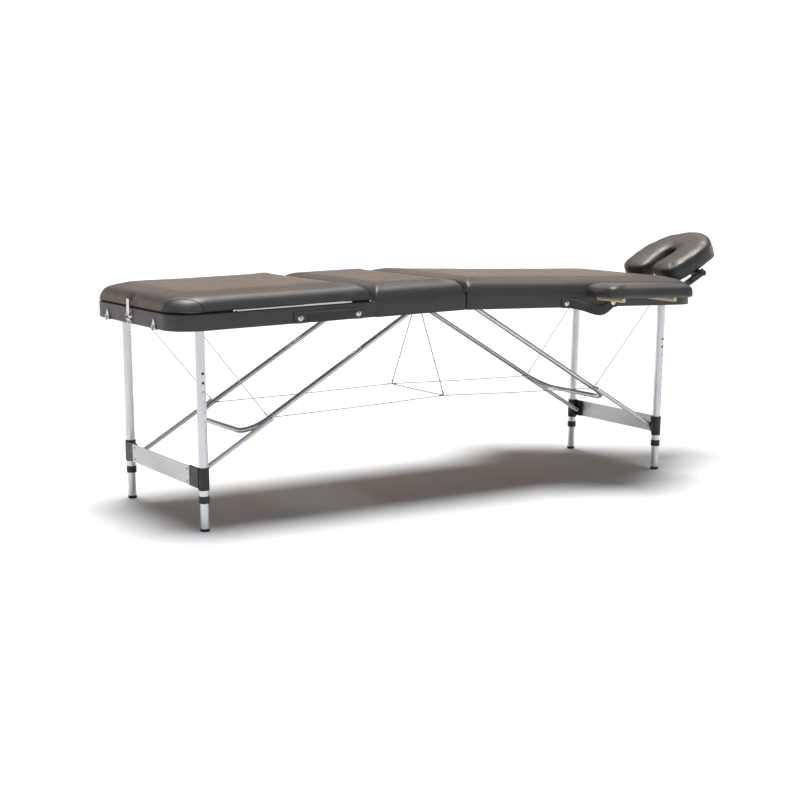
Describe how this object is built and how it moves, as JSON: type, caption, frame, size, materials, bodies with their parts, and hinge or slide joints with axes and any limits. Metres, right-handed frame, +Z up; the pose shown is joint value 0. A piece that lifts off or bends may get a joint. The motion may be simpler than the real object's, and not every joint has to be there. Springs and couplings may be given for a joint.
{
  "type": "folding massage table",
  "caption": "Folding aluminium massage table with lifting backrest, tilting headrest, plug-in armrests, cable-braced legs and height adjustment.",
  "frame": {"origin": "middle of the outline of the whole table, on the floor", "axes": "+X along the table towards the headrest, +Y away from the side with the handles, +Z up"},
  "size_m": [2.1986, 0.88, 0.7832],
  "materials": {
    "black_leather": "soft grained artificial leather",
    "plywood": "plain plywood",
    "light_wood": "turned beech",
    "black_rubber": "matte",
    "black_plastic": "moulded, fine grain",
    "black_webbing": "woven strap",
    "bright_plate": "nickel plated",
    "zinc_steel": "zinc plated",
    "plain_aluminium": "satin flat plate",
    "satin_aluminium": "satin anodised tube"
  },
  "bodies": {
    "back_half": {"back_rails": "black_leather", "back_hinge_leaves": "zinc_steel", "back_pivot_fittings": "zinc_steel", "back_cables": "zinc_steel", "back_handle_strap": "black_webbing", "back_handle_screws": "bright_plate", "back_end_plates": "bright_plate", "middle_board": "plywood", "middle_cushion": "black_leather", "backrest_hinge_leaves": "zinc_steel", "prop_tracks": "zinc_steel"},
    "head_half": {"head_rails": "black_leather", "head_hinge_leaves": "zinc_steel", "head_pivot_fittings": "zinc_steel", "head_cables": "zinc_steel", "head_handle_strap": "black_webbing", "head_handle_screws": "bright_plate", "head_end_plates": "bright_plate", "head_board": "plywood", "head_cushion": "black_leather", "centre_yoke": "zinc_steel"},
    "backrest": {"backrest_board": "plywood", "backrest_cushion": "black_leather", "backrest_hinge_arms": "zinc_steel"},
    "backrest_props": {"backrest_props": "zinc_steel"},
    "latch_lever": {"latch_lever": "bright_plate"},
    "latch_bail": {"latch_bail": "bright_plate"},
    "back_legs": {"back_leg_tubes": "satin_aluminium", "back_leg_clamps": "black_plastic", "back_leg_collars": "black_plastic", "back_leg_plate": "plain_aluminium"},
    "back_brace": {"back_brace": "satin_aluminium"},
    "back_struts": {"back_struts": "satin_aluminium"},
    "back_inner_leg_near": {"back_inner_leg_near": "satin_aluminium", "back_foot_near": "black_rubber"},
    "back_button_near": {"back_button_near": "bright_plate"},
    "back_inner_leg_far": {"back_inner_leg_far": "satin_aluminium", "back_foot_far": "black_rubber"},
    "back_button_far": {"back_button_far": "bright_plate"},
    "head_legs": {"head_leg_tubes": "satin_aluminium", "head_leg_clamps": "black_plastic", "head_leg_collars": "black_plastic", "head_leg_plate": "plain_aluminium"},
    "head_brace": {"head_brace": "satin_aluminium"},
    "head_struts": {"head_struts": "satin_aluminium"},
    "head_inner_leg_near": {"head_inner_leg_near": "satin_aluminium", "head_foot_near": "black_rubber"},
    "head_button_near": {"head_button_near": "bright_plate"},
    "head_inner_leg_far": {"head_inner_leg_far": "satin_aluminium", "head_foot_far": "black_rubber"},
    "head_button_far": {"head_button_far": "bright_plate"},
    "headrest_fork": {"headrest_fork": "black_plastic"},
    "headrest": {"headrest_platform": "black_plastic", "headrest_cushion": "black_leather"},
    "headrest_lever": {"headrest_lever": "black_plastic"},
    "armrest_near": {"armrest_pad_near": "black_leather", "armrest_dowels_near": "light_wood"},
    "armrest_far": {"armrest_pad_far": "black_leather", "armrest_dowels_far": "light_wood"}
  },
  "joints": [
    {"name": "centre_fold", "type": "hinge", "parent": "back_half", "child": "head_half", "pos_m": [-0.1387, 0, 0.57513], "axis": [0, 1, 0], "range_deg": [0, 177.22], "deforming": ["back_cables", "head_cables", "centre_yoke"]},
    {"name": "back_leg_fold", "type": "hinge", "parent": "back_half", "child": "back_legs", "pos_m": [-0.99618, 0, 0.58433], "axis": [0, -1, 0], "range_deg": [0, 90]},
    {"name": "back_brace_fold", "type": "hinge", "parent": "back_half", "child": "back_brace", "pos_m": [-0.20641, 0, 0.60349], "axis": [0, 1, 0], "range_deg": [0, 30.3]},
    {"name": "back_strut_fold", "type": "hinge", "parent": "back_legs", "child": "back_struts", "pos_m": [-0.97858, 0, 0.14763], "axis": [0, -1, 0], "range_deg": [0, 59.7]},
    {"name": "back_leg_height_near", "type": "slide", "parent": "back_legs", "child": "back_inner_leg_near", "axis": [0.0243, 0, -0.9997], "range_m": [-0.053, 0.159]},
    {"name": "back_button_press_near", "type": "slide", "parent": "back_inner_leg_near", "child": "back_button_near", "axis": [0, 1, 0], "range_m": [0, 0.004], "stiffness_N_per_m": 400},
    {"name": "back_leg_height_far", "type": "slide", "parent": "back_legs", "child": "back_inner_leg_far", "axis": [0.0243, 0, -0.9997], "range_m": [-0.053, 0.159]},
    {"name": "back_button_press_far", "type": "slide", "parent": "back_inner_leg_far", "child": "back_button_far", "axis": [0, -1, 0], "range_m": [0, 0.004], "stiffness_N_per_m": 400},
    {"name": "head_leg_fold", "type": "hinge", "parent": "head_half", "child": "head_legs", "pos_m": [0.71877, 0, 0.58433], "axis": [0, 1, 0], "range_deg": [0, 90]},
    {"name": "head_brace_fold", "type": "hinge", "parent": "head_half", "child": "head_brace", "pos_m": [-0.071, 0, 0.60349], "axis": [0, -1, 0], "range_deg": [0, 30.3]},
    {"name": "head_strut_fold", "type": "hinge", "parent": "head_legs", "child": "head_struts", "pos_m": [0.70117, 0, 0.14763], "axis": [0, 1, 0], "range_deg": [0, 59.7]},
    {"name": "head_leg_height_near", "type": "slide", "parent": "head_legs", "child": "head_inner_leg_near", "axis": [-0.0243, 0, -0.9997], "range_m": [-0.053, 0.159]},
    {"name": "head_button_press_near", "type": "slide", "parent": "head_inner_leg_near", "child": "head_button_near", "axis": [0, 1, 0], "range_m": [0, 0.004], "stiffness_N_per_m": 400},
    {"name": "head_leg_height_far", "type": "slide", "parent": "head_legs", "child": "head_inner_leg_far", "axis": [-0.0243, 0, -0.9997], "range_m": [-0.053, 0.159]},
    {"name": "head_button_press_far", "type": "slide", "parent": "head_inner_leg_far", "child": "head_button_far", "axis": [0, -1, 0], "range_m": [0, 0.004], "stiffness_N_per_m": 400},
    {"name": "backrest_lift", "type": "hinge", "parent": "back_half", "child": "backrest", "pos_m": [-0.46726, 0, 0.63517], "axis": [0, 1, 0], "range_deg": [0, 50]},
    {"name": "prop_swing", "type": "hinge", "parent": "backrest", "child": "backrest_props", "pos_m": [-0.68393, 0, 0.61921], "axis": [0, -1, 0], "range_deg": [0, 100]},
    {"name": "latch_lever_swing", "type": "hinge", "parent": "back_half", "child": "latch_lever", "pos_m": [-1.09525, 0, 0.58593], "axis": [0, -1, 0], "range_deg": [0, 90]},
    {"name": "latch_bail_swing", "type": "hinge", "parent": "back_half", "child": "latch_bail", "pos_m": [-1.09393, 0, 0.57295], "axis": [0, 1, 0], "range_deg": [0, 90]},
    {"name": "headrest_pull_out", "type": "slide", "parent": "head_half", "child": "headrest_fork", "axis": [0.9997, 0, -0.0243], "range_m": [0, 0.065]},
    {"name": "headrest_tilt", "type": "hinge", "parent": "headrest_fork", "child": "headrest", "pos_m": [0.96342, 0, 0.64941], "axis": [0, -1, 0], "range_deg": [-40, 20]},
    {"name": "headrest_lever_turn", "type": "hinge", "parent": "headrest_fork", "child": "headrest_lever", "pos_m": [0.96342, 0, 0.64941], "axis": [0, -1, 0], "range_deg": [0, 90]},
    {"name": "armrest_pull_out_near", "type": "slide", "parent": "head_half", "child": "armrest_near", "axis": [0, -1, 0], "range_m": [0, 0.045]},
    {"name": "armrest_pull_out_far", "type": "slide", "parent": "head_half", "child": "armrest_far", "axis": [0, 1, 0], "range_m": [0, 0.045]}
  ],
  "couplings": [
    {"joint": "back_leg_fold", "follows": "centre_fold", "ratio": 0.50784},
    {"joint": "back_brace_fold", "follows": "centre_fold", "ratio": 0.17099},
    {"joint": "back_strut_fold", "follows": "centre_fold", "ratio": 0.33686},
    {"joint": "head_leg_fold", "follows": "centre_fold", "ratio": 0.50784},
    {"joint": "head_brace_fold", "follows": "centre_fold", "ratio": 0.17099},
    {"joint": "head_strut_fold", "follows": "centre_fold", "ratio": 0.33686},
    {"joint": "prop_swing", "follows": "backrest_lift", "ratio": 2}
  ]
}
